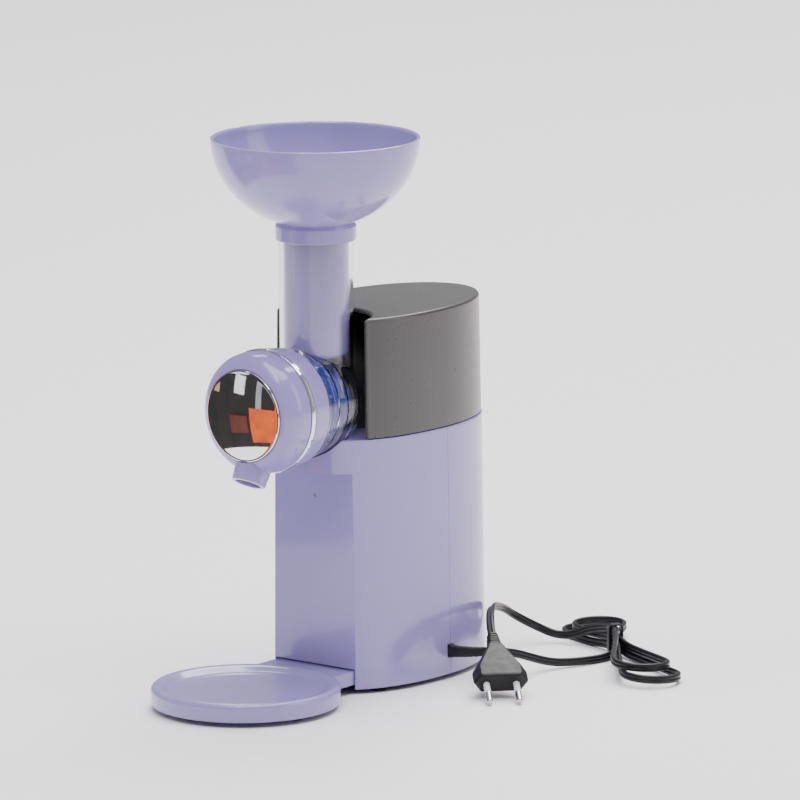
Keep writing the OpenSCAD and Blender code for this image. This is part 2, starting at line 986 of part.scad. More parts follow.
// Cone with one helical flight, narrow end towards the motor
module auger() {
    y0 = -46;
    y1 = 10;
    n = 40;
    turns = (y1 - y0) / flight_pitch;
    sides = 28;
    lobes = [
        for (i = [0 : n])
            let (y = y0 + (y1 - y0) * i / n, at = 360 * turns * i / n, r = auger_r(y))
            each [
                for (k = [0 : sides - 1])
                    let (
                        a = 360 * k / sides,
                        off = abs(((a - at) % 360 + 540) % 360 - 180),
                        rr = r - min(5, r - 9.6) * min(1, max(0, off - 22) / 30)
                    )
                    [rr * cos(a), y, rr * sin(a) + axis_z]
            ]
    ];
    walls = [
        for (i = [0 : n - 1])
            for (k = [0 : sides - 1])
                let (a = i * sides + k, b = i * sides + (k + 1) % sides)
                each [[a, a + sides, b], [b, a + sides, b + sides]]
    ];
    front = [[for (k = [0 : sides - 1]) k]];
    back = [[for (k = [sides - 1 : -1 : 0]) n * sides + k]];
    color(navy)
        difference() {
            polyhedron(points = lobes, faces = concat(walls, front, back), convexity = 10);
            rod_y(8, -2, 13, axis_z);
        }
}

module auger_socket() {
    color(steel)
        difference() {
            rod_y(8, -2, 12, axis_z);
            translate([0, 0, axis_z])
                along_y(0.6, 13)
                    circle(r = 5.9, $fn = 6);
        }
}

spout_top = [0, -70.7, 147.5];
spout_end = [0, -74.6, 140];
spout_tilt = atan2(spout_top[1] - spout_end[1], spout_top[2] - spout_end[2]);

module spout(r0, r1, up, down) {
    translate(spout_end)
        rotate([-spout_tilt, 0, 0])
            translate([0, 0, -down])
                cylinder(r1 = r1, r2 = r0, h = up + down);
}

module nozzle_cap() {
    steps = 10;
    outside = concat(
        [[0, -77], [28.9, -77], [28.9, -78.3]],
        [
            for (i = [0 : steps])
                let (a = 90 * i / steps + 1)
                if (25 + 13 * sin(a) > 29)
                    [25 + 13 * sin(a), -65.5 - 13 * cos(a)]
        ],
        [[38, -59.2], [37.2, -58.8], [37.2, -58.4], [34.8, -58.4], [34.8, -53.5], [36.2, -53.5]],
        [[36.2, -51.5], [31.4, -51.5]]
    );
    inside = concat(
        [
            for (i = [0 : steps])
                let (a = 90 - 90 * i / steps)
                [21 + 10.4 * sin(a), -64.4 - 10.4 * cos(a)]
        ],
        [[0, -74.8]]
    );
    color(lilac)
        difference() {
            union() {
                turned(concat(outside, inside));
                difference() {
                    spout(12, 10.7, 20, 0);
                    turned([[0, -90], [0, -40], [34, -40], [34, -64], [30, -71], [22, -75], [0, -75]]);
                }
            }
            spout(8.6, 8.2, 26, 1);
            rod_y(28.9, -90, -77, axis_z);
            tube_y(50, 34.8, -58.4, -53.5, axis_z);
        }
}

module front_disc() {
    steps = 10;
    rise = 3;
    color(steel)
        turned(concat(
            [[0, -77], [28.6, -77]],
            [
                for (i = [0 : steps])
                    let (r = 28.6 * (1 - i / steps))
                    [r, -79.2 - rise * (1 - pow(r / 28.6, 2))]
            ]
        ));
}

module trim_ring() {
    color(steel)
        turned([[34.8, -58.4], [38.4, -58.4], [38.9, -57.6], [38.9, -55.6], [38.4, -55], [34.8, -55]]);
}

module lock_ring() {
    color(lilac)
        turned([
            [35.2, -54.8], [38.2, -54.8], [38.5, -54.2], [36.9, -39.9], [36.5, -39.5], [34.5, -39.5],
            [34.5, -51], [36.6, -51], [36.6, -53.9], [35.2, -53.9]
        ]);
}

module cap_seal() {
    color([0.88, 0.88, 0.9])
        turned([[31.5, -51.5], [33.9, -51.5], [33.9, -50.1], [31.5, -50.1]]);
}

// ---- pusher ----

bowl_bottom_z = 293.5;
bowl_arc = [for (i = [0 : 16]) 2 + 66 * i / 16];

module pusher_bowl() {
    n = len(bowl_arc) - 1;
    outer = [for (a = bowl_arc) [rim_r * cos(a), rim_z + 1 - 58 * sin(a)]];
    inner = [for (a = bowl_arc) [(rim_r - 2.4) * cos(a), rim_z + 1 - 55.4 * sin(a)]];
    color(lilac)
        translate([0, chute_y, 0])
            rotate_extrude($fn = 128)
                polygon(concat(
                    [[rim_r - 1.7, rim_z], [rim_r - 0.7, rim_z], [rim_r, rim_z - 0.8]],
                    [for (i = [1 : n]) outer[i]],
                    [[25.2, bowl_bottom_z], [18.2, bowl_bottom_z]],
                    [for (i = [n : -1 : 0]) inner[i]]
                ));
}

// Collar under the bowl, which sits on the top of the chute
module pusher_collar() {
    color(lilac)
        translate([0, chute_y, 0])
            rotate_extrude($fn = 128)
                polygon([
                    [25.2, bowl_bottom_z], [25.2, 284.5], [24.6, 283.6], [23.4, 283.6], [23.4, 288.4],
                    [18.2, 288.4], [18.2, bowl_bottom_z]
                ]);
}

module pusher_shaft() {
    r = 20.3;
    steps = 6;
    color(lilac)
        translate([0, chute_y, 0])
            rotate_extrude($fn = 96)
                polygon(concat(
                    [[0, pusher_end_z]],
                    [
                        for (i = [0 : steps])
                            let (a = 90 * i / steps)
                            [r - 4 + 4 * sin(a), pusher_end_z + 4 - 4 * cos(a)]
                    ],
                    [[r, 288.4], [18.2, 288.4], [18.2, pusher_end_z + 2.4], [0, pusher_end_z + 2.4]]
                ));
}

// ---- lead and plug ----

// Space that the turns of the hank fill: a long loop and a short one, narrow at the tie
module hank_form(grow) {
    translate([hank_c[0], hank_c[1], hank_z[0] - grow])
        rotate(hank_turn)
            linear_extrude(hank_z[1] - hank_z[0] + 2 * grow)
                for (loop = [loop_a, [-loop_b[0], loop_b[1]]])
                    hull() {
                        circle(hank_r + grow);
                        translate([loop[0], 0])
                            circle(loop[1] + grow);
                    }
}

module cord_lead() {
    color(black)
        difference() {
            swept(lead_route, cord_d / 2, 10);
            hank_form(0.05);
        }
}

module cord_tail() {
    color(black)
        difference() {
            swept(tail_route, cord_d / 2, 10);
            hank_form(0.05);
        }
}

module cord_hank() {
    color(black)
        hank_form(0);
}

module cord_tie() {
    height = hank_z[1] - hank_z[0];
    color(black)
        translate([hank_c[0], hank_c[1], 0])
            rotate(hank_turn)
                difference() {
                    translate([-tie_w / 2, -tie_gap - 1.3, hank_z[0] - 1.35])
                        cube([tie_w, 2 * tie_gap + 2.6, height + 2.7]);
                    translate([-tie_w, -tie_gap, hank_z[0] - 0.05])
                        cube([2 * tie_w, 2 * tie_gap, height + 0.1]);
                }
}

// Places a shape drawn with -Y as the plug's direction at the plug's face
module at_plug() {
    translate(plug_face)
        rotate([0, 0, 45])
            rotate([plug_tilt, 0, 0])
                children();
}

module plug_body() {
    color(black)
        at_plug()
            difference() {
                union() {
                    translate([0, 0, -6.85])
                        linear_extrude(13.7)
                            polygon([
                                [-17.6, 2], [-15.6, 0], [15.6, 0], [17.6, 2], [17.6, 10], [12.5, 22],
                                [7, 33], [5.2, plug_len], [-5.2, plug_len], [-7, 33], [-12.5, 22],
                                [-17.6, 10]
                            ]);
                    rotate([-90, 0, 0])
                        cylinder(r1 = 5.2, r2 = 3.6, h = plug_len + neck_len);
                }
                for (x = [-9.3, 9.3])
                    translate([x, -1, 0])
                        rotate([-90, 0, 0])
                            cylinder(r = pin_r, h = 9);
            }
}

module plug_sleeves() {
    color([0.8, 0.8, 0.82])
        at_plug()
            for (x = [-9.3, 9.3])
                translate([x, 0, 0])
                    rotate([90, 0, 0])
                        difference() {
                            cylinder(r = pin_r, h = 9.5);
                            translate([0, 0, -1])
                                cylinder(r = 1.5, h = 12);
                        }
}

module plug_pins() {
    color(steel)
        at_plug()
            for (x = [-9.3, 9.3])
                translate([x, 0, 0]) {
                    rotate([90, 0, 0])
                        translate([0, 0, 9.5])
                            cylinder(r = pin_r, h = pin_len - 10.3);
                    rotate([90, 0, 0])
                        translate([0, 0, pin_len - 0.8 - eps])
                            cylinder(r1 = pin_r, r2 = 1.3, h = 0.8);
                    rotate([-90, 0, 0])
                        translate([0, 0, -9.5 - eps])
                            cylinder(r = 1.5, h = 17);
                }
}

front_housing();
rear_housing();
top_cover();
base_plate();
base_feet();
housing_screws();
cover_screws();
gearbox_case();
gearbox_cover();
gearbox_screws();
gear_bushes();
idler_axle();
shaft_seal();
motor_stator();
field_coils();
motor_bracket();
motor_screws();
brush_holders();
carbon_brushes();
brush_springs();
motor_bushes();
circuit_board();
board_parts();
inner_leads();
switch_body();
switch_rocker();
cord_gland();
cord_clamp();
motor_shaft();
armature();
commutator();
cooling_fan();
motor_pinion();
idler_gear();
output_gear();
drive_shaft();
drip_tray();
tray_feet();
chute_barrel();
auger();
auger_socket();
nozzle_cap();
front_disc();
trim_ring();
lock_ring();
cap_seal();
pusher_bowl();
pusher_collar();
pusher_shaft();
cord_lead();
cord_hank();
cord_tail();
cord_tie();
plug_body();
plug_sleeves();
plug_pins();
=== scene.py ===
"""Looks of the frozen dessert maker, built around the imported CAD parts.

Shapes are written in millimetres in the frame of the part, with the spout towards -Y, and turned
into metres where each mesh is made.
"""
from math import asin, atan2, cos, pi, radians, sin, sqrt, tan

import bmesh
import bpy
from mathutils import Matrix, Vector


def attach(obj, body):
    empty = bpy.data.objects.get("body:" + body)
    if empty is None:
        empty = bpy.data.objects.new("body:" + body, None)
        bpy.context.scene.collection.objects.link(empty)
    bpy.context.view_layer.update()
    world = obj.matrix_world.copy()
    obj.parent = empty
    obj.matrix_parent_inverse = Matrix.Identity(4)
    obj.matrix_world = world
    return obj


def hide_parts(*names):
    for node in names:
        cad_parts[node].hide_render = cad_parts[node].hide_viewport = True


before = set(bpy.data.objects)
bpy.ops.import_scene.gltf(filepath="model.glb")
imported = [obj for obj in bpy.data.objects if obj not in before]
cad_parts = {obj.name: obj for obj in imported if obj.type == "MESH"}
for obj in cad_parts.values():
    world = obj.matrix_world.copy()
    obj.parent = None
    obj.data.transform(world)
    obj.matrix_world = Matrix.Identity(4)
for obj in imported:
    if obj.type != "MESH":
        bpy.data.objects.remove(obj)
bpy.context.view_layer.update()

MM = 0.001
SMOOTH_BELOW = radians(32)

# Places that several pieces share, and the turn of the view about the vertical
AXIS_Z = 183
CHUTE_Y = -7
BODY_Y = 57
TRAY_Y = -79
RIM_Z = 347.5
DECK_Z = 160.5
VIEW_YAW = 0.67558


# ---- camera, first because the cords are judged by what it sees ----

def add_camera(place, yaw, pitch, roll, lens):
    """A camera that looks along +Y when yaw and pitch are zero; yaw turns it to -X, pitch down."""
    forward = Vector((-sin(yaw) * cos(pitch), cos(yaw) * cos(pitch), -sin(pitch)))
    right = Vector((cos(yaw), sin(yaw), 0))
    up = right.cross(forward)
    across = right * cos(roll) + up * sin(roll)
    upright = up * cos(roll) - right * sin(roll)
    data = bpy.data.cameras.new("camera")
    data.lens = lens
    data.sensor_width = 36
    data.clip_end = 60
    camera = bpy.data.objects.new("camera", data)
    bpy.context.scene.collection.objects.link(camera)
    turn = Matrix((across, upright, -forward)).transposed().to_4x4()
    camera.matrix_world = Matrix.Translation(Vector(place)) @ turn
    bpy.context.scene.camera = camera


add_camera((3.0422, -3.7211, 1.0920), yaw=VIEW_YAW, pitch=0.18734, roll=-0.00587, lens=354.44)


# ---- outlines and meshes ----

def rounded(corners, steps=5):
    """A closed outline of (x, y, radius) corners as points, each corner turned into an arc."""
    points = []
    count = len(corners)
    for i, (x, y, radius) in enumerate(corners):
        here = Vector((x, y))
        to_last = Vector(corners[i - 1][:2]) - here
        to_next = Vector(corners[(i + 1) % count][:2]) - here
        if radius <= 0:
            points.append((x, y))
            continue
        half = to_last.angle(to_next) / 2
        reach = min(radius / tan(half), 0.49 * to_last.length, 0.49 * to_next.length)
        radius = reach * tan(half)
        centre = here + (to_last.normalized() + to_next.normalized()).normalized() * radius / sin(half)
        start = here + to_last.normalized() * reach - centre
        end = here + to_next.normalized() * reach - centre
        sweep = start.angle_signed(end)
        for k in range(steps + 1):
            turned = start.copy()
            turned.rotate(Matrix.Rotation(-sweep * k / steps, 2))
            points.append(tuple(centre + turned))
    return points


def grid_faces(rows, columns, close_rows=False, close_columns=True):
    """Quads over a grid of points stored row by row."""
    faces = []
    for i in range(rows if close_rows else rows - 1):
        for k in range(columns if close_columns else columns - 1):
            i2 = (i + 1) % rows
            k2 = (k + 1) % columns
            faces.append((i * columns + k, i * columns + k2, i2 * columns + k2, i2 * columns + k))
    return faces


def solid(name, points, faces):
    """A closed mesh object, its points in millimetres, with coinciding points joined."""
    mesh = bpy.data.meshes.new(name)
    mesh.from_pydata([Vector(p) * MM for p in points], [], faces)
    bm = bmesh.new()
    bm.from_mesh(mesh)
    bmesh.ops.remove_doubles(bm, verts=bm.verts, dist=1e-6)
    bmesh.ops.dissolve_degenerate(bm, edges=bm.edges, dist=1e-6)
    bmesh.ops.recalc_face_normals(bm, faces=bm.faces)
    bm.to_mesh(mesh)
    bm.free()
    obj = bpy.data.objects.new(name, mesh)
    bpy.context.scene.collection.objects.link(obj)
    return obj


def turned(name, outline, axis="y", centre=(0, 0, AXIS_Z), steps=160):
    """A closed outline of (radius, height) points, turned about an axis through the centre."""
    points = []
    for k in range(steps):
        a = 2 * pi * k / steps
        for r, h in outline:
            spot = (r * cos(a), h, r * sin(a)) if axis == "y" else (r * cos(a), r * sin(a), h)
            points.append(Vector(spot) + Vector(centre))
    return solid(name, points, grid_faces(steps, len(outline), close_rows=True))


def lofted(name, rings):
    """Rings of equally many points joined into a skin, with both ends closed."""
    columns = len(rings[0])
    points = [p for ring in rings for p in ring]
    faces = grid_faces(len(rings), columns)
    faces.append(tuple(range(columns)))
    faces.append(tuple(len(points) - columns + k for k in range(columns)))
    return solid(name, points, faces)


def block(name, low, high, radius=0.0, steps=3):
    """A box between two corners with all its edges rounded."""
    bm = bmesh.new()
    bmesh.ops.create_cube(bm, size=1)
    size = Vector(high) - Vector(low)
    middle = (Vector(high) + Vector(low)) / 2
    for v in bm.verts:
        v.co = Vector([v.co[i] * size[i] + middle[i] for i in range(3)]) * MM
    if radius:
        bmesh.ops.bevel(
            bm, geom=bm.edges[:] + bm.verts[:], offset=radius * MM, segments=steps, profile=0.5,
            affect="EDGES",
        )
    mesh = bpy.data.meshes.new(name)
    bm.to_mesh(mesh)
    bm.free()
    obj = bpy.data.objects.new(name, mesh)
    bpy.context.scene.collection.objects.link(obj)
    return obj


def rod(name, radius, start, end, steps=64):
    """A round bar along Y or Z, given by its two end points."""
    start, end = Vector(start), Vector(end)
    axis = "y" if abs(end.y - start.y) > abs(end.z - start.z) else "z"
    length = (end - start).length
    return turned(name, [(0, 0), (radius, 0), (radius, length), (0, length)], axis, start, steps)


def combine(obj, operation, *tools):
    """Boolean of obj with each tool in turn, applied at once; the tools are removed."""
    for tool in tools:
        step = obj.modifiers.new("combine", "BOOLEAN")
        step.operation = operation
        step.solver = "EXACT"
        step.object = tool
        bake(obj)
        bpy.data.objects.remove(tool)
    return obj


def bake(obj):
    """Replaces an object's mesh by what its modifiers make of it."""
    bpy.context.view_layer.update()
    seen = obj.evaluated_get(bpy.context.evaluated_depsgraph_get())
    mesh = bpy.data.meshes.new_from_object(seen)
    obj.modifiers.clear()
    obj.data = mesh
    return obj


def piece(obj, material, body, *nodes, edge=0.0):
    """Finishes a piece: fine edges, smooth shading, its material, its body and the nodes it stands for."""
    if edge:
        bevel = obj.modifiers.new("edge", "BEVEL")
        bevel.width = edge * MM
        bevel.segments = 2
        bevel.limit_method = "ANGLE"
        bevel.angle_limit = radians(40)
        bevel.harden_normals = False
        bake(obj)
    mesh = obj.data
    mesh.materials.clear()
    mesh.materials.append(material)
    mesh.polygons.foreach_set("use_smooth", [True] * len(mesh.polygons))
    mesh.set_sharp_from_angle(angle=SMOOTH_BELOW)
    weighted = obj.modifiers.new("normals", "WEIGHTED_NORMAL")
    weighted.keep_sharp = True
    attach(obj, body)
    if nodes:
        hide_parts(*nodes)
    return obj


# ---- materials ----

def mix_nodes(tree, low, high, factor):
    """A colour mix between two colours, driven by a factor output."""
    mix = tree.nodes.new("ShaderNodeMix")
    mix.data_type = "RGBA"
    mix.inputs["A"].default_value = (*low, 1)
    mix.inputs["B"].default_value = (*high, 1)
    tree.links.new(factor, mix.inputs["Factor"])
    return mix.outputs["Result"]


def noise_nodes(tree, scale, detail=3, stretch=(1, 1, 1)):
    """Noise in the object's own space; the scale is in cycles per metre."""
    place = tree.nodes.new("ShaderNodeTexCoord")
    mapping = tree.nodes.new("ShaderNodeMapping")
    mapping.inputs["Scale"].default_value = stretch
    noise = tree.nodes.new("ShaderNodeTexNoise")
    noise.inputs["Scale"].default_value = scale
    noise.inputs["Detail"].default_value = detail
    tree.links.new(place.outputs["Object"], mapping.inputs["Vector"])
    tree.links.new(mapping.outputs["Vector"], noise.inputs["Vector"])
    return noise.outputs["Fac"]


def range_nodes(tree, value, low, high):
    """A noise value spread over a range."""
    spread = tree.nodes.new("ShaderNodeMapRange")
    spread.inputs["From Min"].default_value = 0.3
    spread.inputs["From Max"].default_value = 0.7
    spread.inputs["To Min"].default_value = low
    spread.inputs["To Max"].default_value = high
    tree.links.new(value, spread.inputs["Value"])
    return spread.outputs["Result"]


def material(name, colour, rough, spread=0.03, shade=0.96, grain=900, bump=0.02, stretch=(1, 1, 1),
             **sockets):
    """A surface with slow colour drift, uneven roughness and a fine grain from its nodes.

    The colour drifts between colour * shade and colour, the roughness by spread either way, and the
    grain is a bump of that many cycles per metre. Other names set the shader's own sockets.
    """
    made = bpy.data.materials.new(name)
    made.use_nodes = True
    tree = made.node_tree
    shader = tree.nodes["Principled BSDF"]
    drift = noise_nodes(tree, 35, 4)
    wear = noise_nodes(tree, 220, 5)
    fine = noise_nodes(tree, grain, 2, stretch)
    darker = [c * shade for c in colour]
    tree.links.new(mix_nodes(tree, darker, colour, drift), shader.inputs["Base Color"])
    rough_out = range_nodes(tree, wear, max(0.0, rough - spread), rough + spread)
    tree.links.new(rough_out, shader.inputs["Roughness"])
    relief = tree.nodes.new("ShaderNodeBump")
    relief.inputs["Strength"].default_value = bump
    relief.inputs["Distance"].default_value = 0.0004
    tree.links.new(fine, relief.inputs["Height"])
    tree.links.new(relief.outputs["Normal"], shader.inputs["Normal"])
    for socket, value in sockets.items():
        shader.inputs[socket.replace("_", " ")].default_value = value
    return made


def plain_glass(name, tint, rough):
    """Clear moulded plastic with faint flow marks."""
    made = material(name, tint, rough, spread=0.01, shade=0.99, grain=90, bump=0.008)
    shader = made.node_tree.nodes["Principled BSDF"]
    shader.inputs["Transmission Weight"].default_value = 1.0
    shader.inputs["IOR"].default_value = 1.46
    return made


LILAC = material(
    "lilac plastic", (0.285, 0.25, 0.525), 0.2, spread=0.03, shade=0.985, grain=420, bump=0.03,
    Coat_Weight=0.5, Coat_Roughness=0.06, Subsurface_Weight=0.25, Subsurface_Scale=0.004,
)
GREY = material(
    "silver grey plastic", (0.07, 0.069, 0.068), 0.3, spread=0.03, shade=0.96, grain=1500, bump=0.012,
    Metallic=0.3, Coat_Weight=0.2, Coat_Roughness=0.25,
)
CLEAR = plain_glass("clear plastic", (0.965, 0.97, 0.99), 0.03)
NAVY = material(
    "navy plastic", (0.012, 0.035, 0.33), 0.22, shade=0.85, grain=500, bump=0.04, Coat_Weight=0.3,
    Coat_Roughness=0.1,
)
CHROME = material(
    "chrome plating", (0.86, 0.86, 0.87), 0.035, spread=0.02, shade=0.97, grain=160, bump=0.01,
    Metallic=1.0,
)
BLACK = material(
    "black plastic", (0.009, 0.009, 0.01), 0.4, spread=0.06, shade=0.8, grain=1800, bump=0.1,
    Specular_IOR_Level=0.3,
)
RUBBER = material(
    "black rubber", (0.01, 0.01, 0.011), 0.5, spread=0.08, shade=0.75, grain=2600, bump=0.12,
    Specular_IOR_Level=0.3,
)
CORD_SKIN = material(
    "cord sheath", (0.007, 0.007, 0.008), 0.36, spread=0.06, shade=0.8, grain=1500, bump=0.08,
    Specular_IOR_Level=0.3,
)
SLEEVE = material("pin sleeve", (0.62, 0.64, 0.70), 0.35, shade=0.93, grain=1500, bump=0.05)
STEEL = material(
    "machined steel", (0.60, 0.59, 0.57), 0.22, spread=0.06, shade=0.88, grain=900, bump=0.08,
    stretch=(1, 8, 1), Metallic=1.0,
)
LAMINATION = material(
    "lamination steel", (0.23, 0.23, 0.245), 0.42, spread=0.08, shade=0.8, grain=700, bump=0.25,
    stretch=(0.2, 6, 0.2), Metallic=0.9,
)
COPPER = material(
    "enamelled copper", (0.55, 0.20, 0.07), 0.3, spread=0.06, shade=0.7, grain=1400, bump=0.3,
    stretch=(0.3, 5, 5), Metallic=0.85,
)
BRONZE = material(
    "sintered bronze", (0.46, 0.31, 0.14), 0.48, spread=0.08, shade=0.8, grain=2200, bump=0.2, Metallic=0.9,
)
NYLON = material(
    "natural nylon", (0.72, 0.69, 0.60), 0.45, spread=0.05, shade=0.93, grain=900, bump=0.05,
    Subsurface_Weight=0.1, Subsurface_Scale=0.002,
)
SILICONE = material("silicone", (0.75, 0.75, 0.77), 0.5, shade=0.95, grain=800, bump=0.05)
CARBON = material("pressed carbon", (0.03, 0.03, 0.032), 0.6, shade=0.7, grain=2600, bump=0.25)
BOARD = material("board laminate", (0.02, 0.11, 0.045), 0.32, shade=0.8, grain=1800, bump=0.1)
BLUE_WIRE = material("blue wire", (0.02, 0.06, 0.32), 0.35, shade=0.85, grain=1200, bump=0.05)

CAD_FINISHES = {
    BLACK: ("base_plate", "switch_body", "switch_rocker", "board_parts"),
    RUBBER: ("base_feet", "tray_feet", "shaft_seal"),
    SILICONE: ("cap_seal",),
    NYLON: ("gearbox_case", "gearbox_cover", "idler_gear", "output_gear", "cooling_fan", "cord_clamp"),
    STEEL: (
        "housing_screws", "cover_screws", "gearbox_screws", "idler_axle", "motor_bracket", "motor_screws",
        "brush_springs", "motor_shaft", "motor_pinion", "drive_shaft", "auger_socket",
    ),
    LAMINATION: ("motor_stator",),
    COPPER: ("field_coils", "armature", "commutator"),
    BRONZE: ("gear_bushes", "motor_bushes", "brush_holders"),
    CARBON: ("carbon_brushes",),
    BOARD: ("circuit_board",),
    BLUE_WIRE: ("inner_leads",),
}
for finish, names in CAD_FINISHES.items():
    for node_name in names:
        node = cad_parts[node_name]
        node.data.materials.clear()
        node.data.materials.append(finish)


# ---- cord, hank, tie and plug ----

CORD_WIDTH = 5.4
CORD_THICK = 3.2
PLUG_TILT = radians(24)
PLUG_FACE = Vector((112.728, 33.272, 10.028))
PLUG_TURN = Matrix.Rotation(radians(45), 3, "Z") @ Matrix.Rotation(PLUG_TILT, 3, "X")
NECK_END = 50

HANK_C = Vector((90, 180, 0))
TO_LONG = Vector((cos(radians(-38)), sin(radians(-38)), 0))
TO_SIDE = Vector((sin(radians(-38)), -cos(radians(-38)), 0))
LAYER = 5.5
FLOOR_LAYER = 2.85
WAIST_LAYER = 4.6

GLAND_ROUTE = [(55, 61, 18), (60, 62.1, 18.2), (65, 64.3, 18.4), (69.2, 67.2, 18.5), (72.8, 70.7, 18.6)]
LEAD_ROUTE = [
    (72.9, 70.8, 18.6), (75.9, 75, 18.2), (78.6, 80.2, 17.4), (81.5, 90.1, 14.8), (83.2, 100.4, 11.1),
    (84.7, 110.7, 7.4), (87.1, 121.1, 4.6), (90.9, 131.5, 3.4), (95.4, 142, 3.1), (98.4, 152.6, 2.9),
    (98.8, 163.6, 3.1), (95.0, 173.2, 4.2),
]
TAIL_ROUTE = [
    (62, 187.6, 10.4), (52, 186.4, 6.2), (40, 183, 5.6), (29, 174.5, 11.6), (24.5, 161, 19.6),
    (27.5, 147, 26.6), (34.5, 130.5, 32), (43.5, 114.5, 36.2), (53.5, 99, 38.4), (64, 84.5, 37.8),
]


def at_plug(point):
    """A point given in the plug's own axes, with -Y out of its face."""
    return PLUG_FACE + PLUG_TURN @ Vector(point)


def in_hank(along, side, z):
    """A point of the hank: along to the long loops, side towards the lead's side."""
    spot = HANK_C + TO_LONG * along + TO_SIDE * side
    return (spot.x, spot.y, z)


def loop_points(reach, radius, lean, start_side, z_out, z_back, short=False):
    """One open loop of the hank, from the tie round its far end and back to the tie."""
    sign = -1 if short else 1
    centre = reach - radius
    slant = asin(radius / centre)
    points = []
    steps = 9
    for k in (0.2, 0.45, 0.72):
        points.append((centre * cos(slant) ** 2 * k, radius * cos(slant) * k))
    for k in range(steps + 1):
        a = (pi / 2 + slant) * (1 - 2 * k / steps)
        points.append((centre + radius * cos(a), radius * sin(a)))
    points += [(x, -y) for x, y in points[2::-1]]
    spots = []
    for i, (x, y) in enumerate(points):
        share = i / (len(points) - 1)
        near = max(0, 1 - x / 22)
        z = z_out + (z_back - z_out) * share + near * (WAIST_LAYER - FLOOR_LAYER)
        y = y * start_side + lean * x
        spots.append(in_hank(sign * (x + 4), y, z))
    return spots


def waist(side, layer, towards_long):
    """Three points straight through the tie."""
    z = WAIST_LAYER + layer * LAYER
    order = (-5, 0, 5) if towards_long else (5, 0, -5)
    return [in_hank(along, side, z) for along in order]


def hank_points():
    """The cord's way through the hank, from the lead to the tail, in five passes of the tie."""
    z = [FLOOR_LAYER + k * LAYER for k in range(3)]
    return (
        waist(1.9, 0, False)
        + loop_points(69, 17.0, 0.03, 1, z[0], z[0], short=True)
        + waist(-1.9, 0, True)
        + loop_points(99.5, 18.0, 0.0, -1, z[0], z[1])
        + waist(1.9, 1, False)
        + loop_points(60, 16.5, -0.05, 1, z[1], z[1], short=True)
        + waist(-1.9, 1, True)
        + loop_points(89, 17.5, 0.05, -1, z[1], z[2])
        + waist(1.9, 2, False)
    )


def spline(points, spacing=2.0):
    """Catmull-Rom curve through the points, sampled about evenly."""
    pts = [Vector(p) for p in points]
    pts = [pts[0] * 2 - pts[1]] + pts + [pts[-1] * 2 - pts[-2]]
    out = []
    for p0, p1, p2, p3 in zip(pts, pts[1:], pts[2:], pts[3:]):
        t1 = (p1 - p0).length ** 0.5
        t2 = t1 + (p2 - p1).length ** 0.5
        t3 = t2 + (p3 - p2).length ** 0.5
        count = max(2, round((p2 - p1).length / spacing))
        for k in range(count):
            t = t1 + (t2 - t1) * k / count
            a1 = p0 * ((t1 - t) / t1) + p1 * (t / t1)
            a2 = p1 * ((t2 - t) / (t2 - t1)) + p2 * ((t - t1) / (t2 - t1))
            a3 = p2 * ((t3 - t) / (t3 - t2)) + p3 * ((t - t2) / (t3 - t2))
            b1 = a1 * ((t2 - t) / t2) + a2 * (t / t2)
            b2 = a2 * ((t3 - t) / (t3 - t1)) + a3 * ((t - t1) / (t3 - t1))
            out.append(b1 * ((t2 - t) / (t2 - t1)) + b2 * ((t - t1) / (t2 - t1)))
    return out + [pts[-2]]


def relaxed(points, rounds):
    """The curve with small kinks evened out; its ends stay."""
    for _ in range(rounds):
        middle = [(a + b * 2 + c) / 4 for a, b, c in zip(points, points[1:], points[2:])]
        points = [points[0]] + middle + [points[-1]]
    return points


def swept(name, points, sections, guides=None):
    """A skin along a route: each section is a list of (up, across) offsets, with up near its guide.

    Without guides the sections stand on edge, up being near the vertical.
    """
    rings = []
    for i, p in enumerate(points):
        along = (points[min(i + 1, len(points) - 1)] - points[max(i - 1, 0)]).normalized()
        guide = guides[i] if guides else Vector((0, 0, 1))
        up = (guide - along * along.dot(guide)).normalized()
        across = along.cross(up)
        rings.append([p + up * u + across * w for u, w in sections[i]])
    return lofted(name, rings)


def twin_section(width, thick, groove=0.35, count=28):
    """Outline of two round cores side by side, with a shallow groove between them."""
    r = thick / 2
    off = width / 2 - r
    outline = []
    for k in range(count):
        a = 2 * pi * k / count
        u = off * (1 if cos(a) >= 0 else -1) * min(1, abs(cos(a)) * 2.5) + r * cos(a)
        w = r * sin(a)
        w *= 1 - groove * max(0, 1 - abs(u) / 0.9)
        outline.append((u, w))
    return outline


cord_points = relaxed(
    spline(GLAND_ROUTE[-1:] + LEAD_ROUTE[1:] + hank_points() + TAIL_ROUTE
           + [tuple(at_plug((0, NECK_END + 8, 0))), tuple(at_plug((0, NECK_END - 4, 0)))]),
    6,
)
section = twin_section(CORD_WIDTH, CORD_THICK)
# The cord stands on edge in the hank and twists a quarter turn to lie flat with the plug
TWIST_POINTS = 60
plug_side = PLUG_TURN @ Vector((1, 0, 0))
twist = []
for i in range(len(cord_points)):
    share = min(1, max(0, 1 - (len(cord_points) - 1 - i) / TWIST_POINTS))
    share = share * share * (3 - 2 * share)
    twist.append((Vector((0, 0, 1)) * (1 - share) + plug_side * share).normalized())
cord = swept("cord", cord_points, [section] * len(cord_points), twist)


def squarish(tall, wide, count=28):
    """A section between an oval and a rectangle, given by its half height and half width."""
    outline = []
    for k in range(count):
        c = cos(2 * pi * k / count)
        s = sin(2 * pi * k / count)
        outline.append((
            tall * (1 if c >= 0 else -1) * abs(c) ** 0.6,
            wide * (1 if s >= 0 else -1) * abs(s) ** 0.6,
        ))
    return outline


